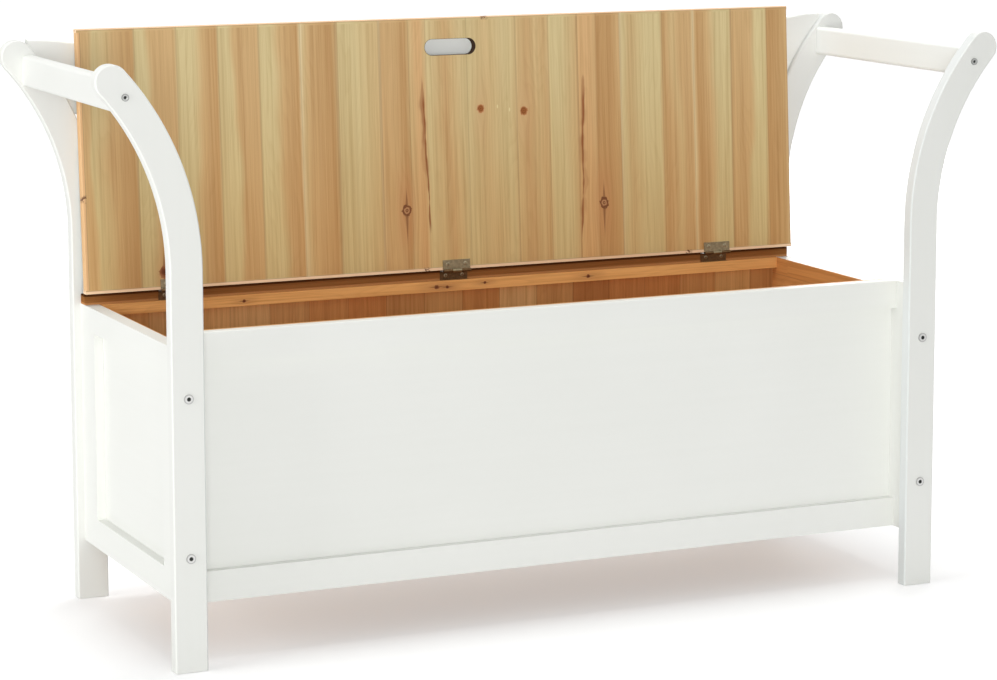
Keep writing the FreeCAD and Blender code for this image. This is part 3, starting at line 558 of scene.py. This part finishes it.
def streak(n, x, y, foot, head, wide):
    """A narrow resin streak between two points, each (x, y), fading at its ends."""
    slope = (head[0] - foot[0]) / (head[1] - foot[1])
    swing = n.math("SUBTRACT", n.noise(n.join(n.times(y, 14.0), 0.0, foot[0]), 1.0, 2.0), 0.5)
    straight = n.math("MULTIPLY_ADD", y, slope, foot[0] - slope * foot[1])
    line = n.math("ADD", straight, n.times(swing, wide * 2.5))
    swell = n.noise(n.join(n.times(y, 24.0), foot[0], 0.0), 1.0, 2.0)
    reach = n.times(n.step(swell, 0.25, 0.62), wide)
    off_line = n.math("ABSOLUTE", n.math("SUBTRACT", x, line))
    near = n.step(n.math("DIVIDE", off_line, n.math("MAXIMUM", reach, 1e-5)), 1.0, 0.2)
    broken = n.step(reach, 0.0, wide * 0.45)
    length = n.times(n.step(y, foot[1], foot[1] + 0.02), n.step(y, head[1], head[1] - 0.02))
    return n.times(near, broken, length)


# Resin streaks: foot, head, width and strength; dark thin ones, with broader faint ones beside and above them
STREAKS = (
    ((0.1947, 0.030), (0.2017, 0.245), 0.0026, 0.85), ((-0.0368, 0.050), (-0.0425, 0.250), 0.0024, 0.85),
    ((0.1958, 0.060), (0.2005, 0.225), 0.0090, 0.25), ((-0.0400, 0.120), (-0.0440, 0.245), 0.0080, 0.25),
    ((0.1985, 0.150), (0.2020, 0.272), 0.0044, 0.50), ((-0.0425, 0.165), (-0.0450, 0.275), 0.0044, 0.50),
    ((-0.5270, 0.020), (-0.5262, 0.335), 0.0012, 0.40))


def lid_stave_material():
    """The lid's board: staves with painted shade toward the hinge, resin streaks, knots, two pale nicks, dark
    slot walls, and lacquer above.
    """
    n = Nodes("lid_staves", 0.7, 0.2)
    x, y, z = lid_point(n)
    tone, seed = lid_tone(n, x, y)
    # Painted shade: the staves are coloured darker and warmer toward the hinge edge.
    painted_shade_toward_hinge = n.step(y, 0.34, 0.0)
    tone = n.blend(painted_shade_toward_hinge, tone, (0.945, 0.870, 0.760), "MULTIPLY")
    colour, height = timber(n, bent_round(n, x, y, LIVE_KNOTS + PLUGGED_KNOTS), y, z, seed, tone, 0.60)
    for foot, head, wide, strength in STREAKS:
        resin = n.times(streak(n, x, y, foot, head, wide), strength)
        colour = n.blend(resin, colour, (0.260, 0.080, 0.024))
    for a, b, size in LIVE_KNOTS:
        colour = knot(n, colour, x, y, (a, b), size, RINGED, ((0.52, 0.240, 0.095), 0.55), (0.036, 0.056))
    for a, b, size in PLUGGED_KNOTS:
        colour = knot(n, colour, x, y, (a, b), size, SOLID, ((0.62, 0.37, 0.19), 0.25), ())
    colour = knot(n, colour, x, y, (-0.4225, 0.0245), 0.0062, SMALL, ((0.45, 0.20, 0.08), 0.20),
                  (0.030, 0.020))
    nick_wide, nick_long, nicks = 0.0012, 0.0035, ((0.069, 0.2235), (0.0873, 0.2185))
    for a, b in nicks:
        near = n.plus(n.math("POWER", n.math("DIVIDE", n.math("SUBTRACT", x, a), nick_wide), 2.0),
                      n.math("POWER", n.math("DIVIDE", n.math("SUBTRACT", y, b), nick_long), 2.0))
        colour = n.blend(n.times(n.step(near, 1.0, 0.2), 0.55), colour, (0.86, 0.80, 0.45))
    beyond = n.math("MAXIMUM", n.math("SUBTRACT", n.math("ABSOLUTE", x), SLOT_HALF), 0.0)
    across = n.math("SUBTRACT", y, SLOT_Y)
    from_slot = n.math("SQRT", n.plus(n.times(beyond, beyond), n.times(across, across)))
    in_slot = n.step(from_slot, SLOT_RADIUS + 0.0007, SLOT_RADIUS + 0.0002)
    colour = n.blend(in_slot, colour, (0.045, 0.017, 0.006))
    white, ripple = sprayed_white(n, n.join(x, y, z), LONG_Y)
    return n.wear(n.blend(n.math("GREATER_THAN", z, spray_edge), white, colour), n.relief(height, 0.00006))


def lipping_material(name, across, edge, pale_wide, pale, marks):
    """A thin strip round the board: a pale line along its outer edge and pale edge faces, a painted highlight,
    with small dark marks at places along it.
    """
    n = Nodes(name, 0.65, 0.25)
    x, y, z = lid_point(n)
    u, v = (x, y) if across == "X" else (y, x)
    tone, seed = lid_tone(n, x, y)
    from_edge = n.math("ABSOLUTE", n.math("SUBTRACT", u, edge))
    # Painted highlight: the pale line along the outer edge of the underside and the whole of the edge faces.
    rim = n.math("MAXIMUM", n.step(from_edge, pale_wide + 0.0002, pale_wide - 0.0002),
                 n.math("LESS_THAN", z, underside - 0.0004))
    colour, height = timber(n, u, v, z, 3.7, n.blend(rim, tone, pale), 0.5)
    seam = n.step(n.math("ABSOLUTE", n.math("SUBTRACT", from_edge, pale_wide + 0.0005)), 0.0006, 0.0002)
    colour = n.blend(n.times(seam, 0.40), colour, (0.24, 0.11, 0.045))
    for at in marks:
        spot = n.step(n.math("ABSOLUTE", n.math("SUBTRACT", v, at)), 0.007, 0.001)
        patch = n.times(spot, n.step(n.noise(n.place(), 300.0, 2.0), 0.42, 0.55))
        colour = n.blend(patch, colour, (0.16, 0.065, 0.03))
    white, ripple = sprayed_white(n, n.join(x, y, z), LONG_X)
    return n.wear(n.blend(n.math("GREATER_THAN", z, spray_edge), white, colour), n.relief(height, 0.00006))


wear_material(["lid_panel"], lid_stave_material())
# Pale colours of the strips' edges, a painted highlight: brightest on the front and rear strips, less on the
# left end and least on the right.
PEACH_HIGHLIGHT = (0.970, 0.710, 0.470)
for name, finish, across, edge, pale_wide, pale, marks in (
        ("front", "free_edge", "Y", 0.3494, 0.0018, PEACH_HIGHLIGHT, (0.052,)),
        ("rear", "hinge_edge", "Y", 0.0014, 0.0036, PEACH_HIGHLIGHT, (-0.044, 0.3632)),
        ("left", "left_end", "X", -half_long, 0.0038, (0.800, 0.510, 0.260), (0.1265,)),
        ("right", "right_end", "X", half_long, 0.0010, (0.700, 0.430, 0.210), ())):
    wear_material(["lid_lipping_" + name],
                  lipping_material("lid_lipping_" + finish, across, edge, pale_wide, pale, marks))


# Hinges: pressed steel leaves with rolled knuckles on a loose pin, zinc plated and dulled. The leaves on the
# rail are coloured dark brown as painted shade. Two countersunk screws with cross recesses hold each leaf, one
# pair in the rail and one in the lid.
def zinc(name, tint, rough):
    """Plated steel with faint cloudy patches and fine rolling marks."""
    n = Nodes(name, rough, 0.5)
    point = n.place()
    cloud = n.noise(point, 260.0, 3.0)
    marks = n.noise(n.stretched(point, (200.0, 2500.0, 2500.0)), 1.0, 2.0)
    shade = n.math("MULTIPLY_ADD", cloud, 0.7, n.times(marks, 0.3))
    dark = tuple(c * 0.55 for c in tint)
    n.fill(n.surface.inputs["Roughness"], n.math("MULTIPLY_ADD", cloud, 0.2, rough - 0.1))
    n.surface.inputs["Metallic"].default_value = 1.0
    return n.wear(n.ramp(shade, [(0.3, dark), (0.7, tint)]), n.relief(marks, 0.00003))


HINGES = ("left", "middle", "right")
# The leaves on the rail are coloured dark brown, painted shade for the lid's shadow; the lid's leaves and the
# pins keep the plating's colour.
for piece, finish, tint, rough in (("hinge_lid_leaf_", "zinc_leaves", (0.345, 0.285, 0.175), 0.42),
                                   ("hinge_fixed_leaf_", "zinc_fixed_leaves", (0.175, 0.105, 0.050), 0.45),
                                   ("hinge_pin_", "zinc_pins", (0.30, 0.24, 0.16), 0.35)):
    wear_material([piece + name for name in HINGES], zinc(finish, tint, rough))
screw_zinc = zinc("zinc_screws", (0.42, 0.36, 0.24), 0.35)


def new_piece(name, grids, material, body):
    """One mesh from closed surfaces, each a grid of points that wraps round; all riding on a body."""
    points, faces, start = [], [], 0
    for grid in grids:
        rows, columns = grid.shape[:2]
        index = start + np.arange(rows * columns).reshape(rows, columns)
        turned = np.roll(index, -1, axis=1)
        quads = np.stack([index[:-1], turned[:-1], turned[1:], index[1:]], axis=-1).reshape(-1, 4)
        faces += quads.tolist()
        faces += [index[0][::-1].tolist(), index[-1].tolist()]
        points.append(grid.reshape(-1, 3))
        start += rows * columns
    mesh = bpy.data.meshes.new(name)
    mesh.from_pydata(np.concatenate(points).tolist(), [], faces)
    mesh.materials.append(material)
    mesh.polygons.foreach_set("use_smooth", np.zeros(len(mesh.polygons), bool))
    thing = bpy.data.objects.new(name, mesh)
    bpy.context.scene.collection.objects.link(thing)
    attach(thing, body)
    return thing


def screw_head(centre, out, along, radius):
    """A countersunk head with a cross recess.

    Rings of points run from the hidden underside round the rim to the middle of the top. The top is a low
    dome whose height drops inside two crossed bars.
    """
    angle = np.linspace(0, 2 * np.pi, 49)[:-1]
    reach = np.array([0.3, 0.9, 1.0, 0.94, 0.8, 0.68, 0.6, 0.5, 0.4, 0.3, 0.2, 0.1])[:, None] * radius
    millimetres = [-0.35, -0.35, 0.02, 0.16, 0.24, 0.28, 0.30, 0.32, 0.33, 0.34, 0.34, 0.34]
    height = np.array(millimetres)[:, None] * 0.001
    a, b = reach * np.cos(angle), reach * np.sin(angle)
    recess = (np.minimum(abs(a), abs(b)) < radius * 0.13) & (np.hypot(a, b) < radius * 0.62)
    rim_rings, recess_deep = 3, 0.0007
    high = height - recess_deep * recess * (np.arange(len(millimetres))[:, None] >= rim_rings)
    side = np.cross(out, along)
    return centre + a[..., None] * along + b[..., None] * side + high[..., None] * out


along, forwards, leaf_thick = np.array([1.0, 0.0, 0.0]), np.array([0.0, -1.0, 0.0]), 0.0012
# How far up its leaf each pair sits, how far each screw stands from the leaf's middle, and its head's radius
rail_up, rail_apart, rail_head = 0.0062, 0.0125, 0.0026
lid_from_pin, lid_apart, lid_head = 0.0094, 0.0130, 0.0027
for name in HINGES:
    low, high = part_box("hinge_fixed_leaf_" + name)
    middle = (low[0] + high[0]) / 2
    face = np.array([middle, high[1] - leaf_thick, low[2] + rail_up])
    heads = [screw_head(face + x * along, forwards, along, rail_head) for x in (-rail_apart, rail_apart)]
    new_piece("hinge_rail_screws_" + name, heads, screw_zinc, "bench")
    face = pin + middle * along + lid_up * lid_from_pin + lid_out * (underside + leaf_thick)
    heads = [screw_head(face + x * along, lid_out, along, lid_head) for x in (-lid_apart, lid_apart)]
    new_piece("hinge_lid_screws_" + name, heads, screw_zinc, "lid")


# Bolts: turned steel heads with a hexagon socket, bright with zinc plate, with painted shade in the socket and
# round the rim. They draw the posts to the end frames, and smaller heads draw them to the arm rails.
def bolt_zinc(name, node, radius, tint):
    """Bright plate, with painted shade round the rim and in the socket; places come from the bolts' own box."""
    n = Nodes(name, 0.32, 0.5)
    n.surface.inputs["Metallic"].default_value = 1.0
    low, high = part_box(node)
    x, y, z = n.split(n.place())
    across = n.math("SUBTRACT", n.math("ABSOLUTE", x), high[0] - radius)
    from_heads = []
    for height in (low[2] + radius, high[2] - radius):
        up = n.math("SUBTRACT", z, height)
        from_heads.append(n.math("SQRT", n.plus(n.times(across, across), n.times(up, up))))
    reach = n.math("MULTIPLY", n.math("MINIMUM", *from_heads), 1 / radius)
    painted_rim_shade = tuple(c * 0.62 for c in tint)
    # Painted shade: dark in the socket and darker round the rim.
    colour = n.ramp(reach, [(0.0, (0.045, 0.048, 0.045)), (0.40, (0.055, 0.058, 0.055)), (0.46, tint),
                            (0.72, tint), (0.92, painted_rim_shade)])
    return n.wear(colour, n.relief(n.noise(n.place(), 1500.0, 2.0), 0.00002))


for end in ENDS:
    for held, finish, radius, tint in (("post_bolts_", "zinc_bolts_", 0.006, (0.88, 0.88, 0.86)),
                                       ("arm_bolts_", "zinc_arm_bolts_", 0.0045, (0.60, 0.61, 0.59))):
        wear_material([held + end], bolt_zinc(finish + end, held + end, radius, tint))
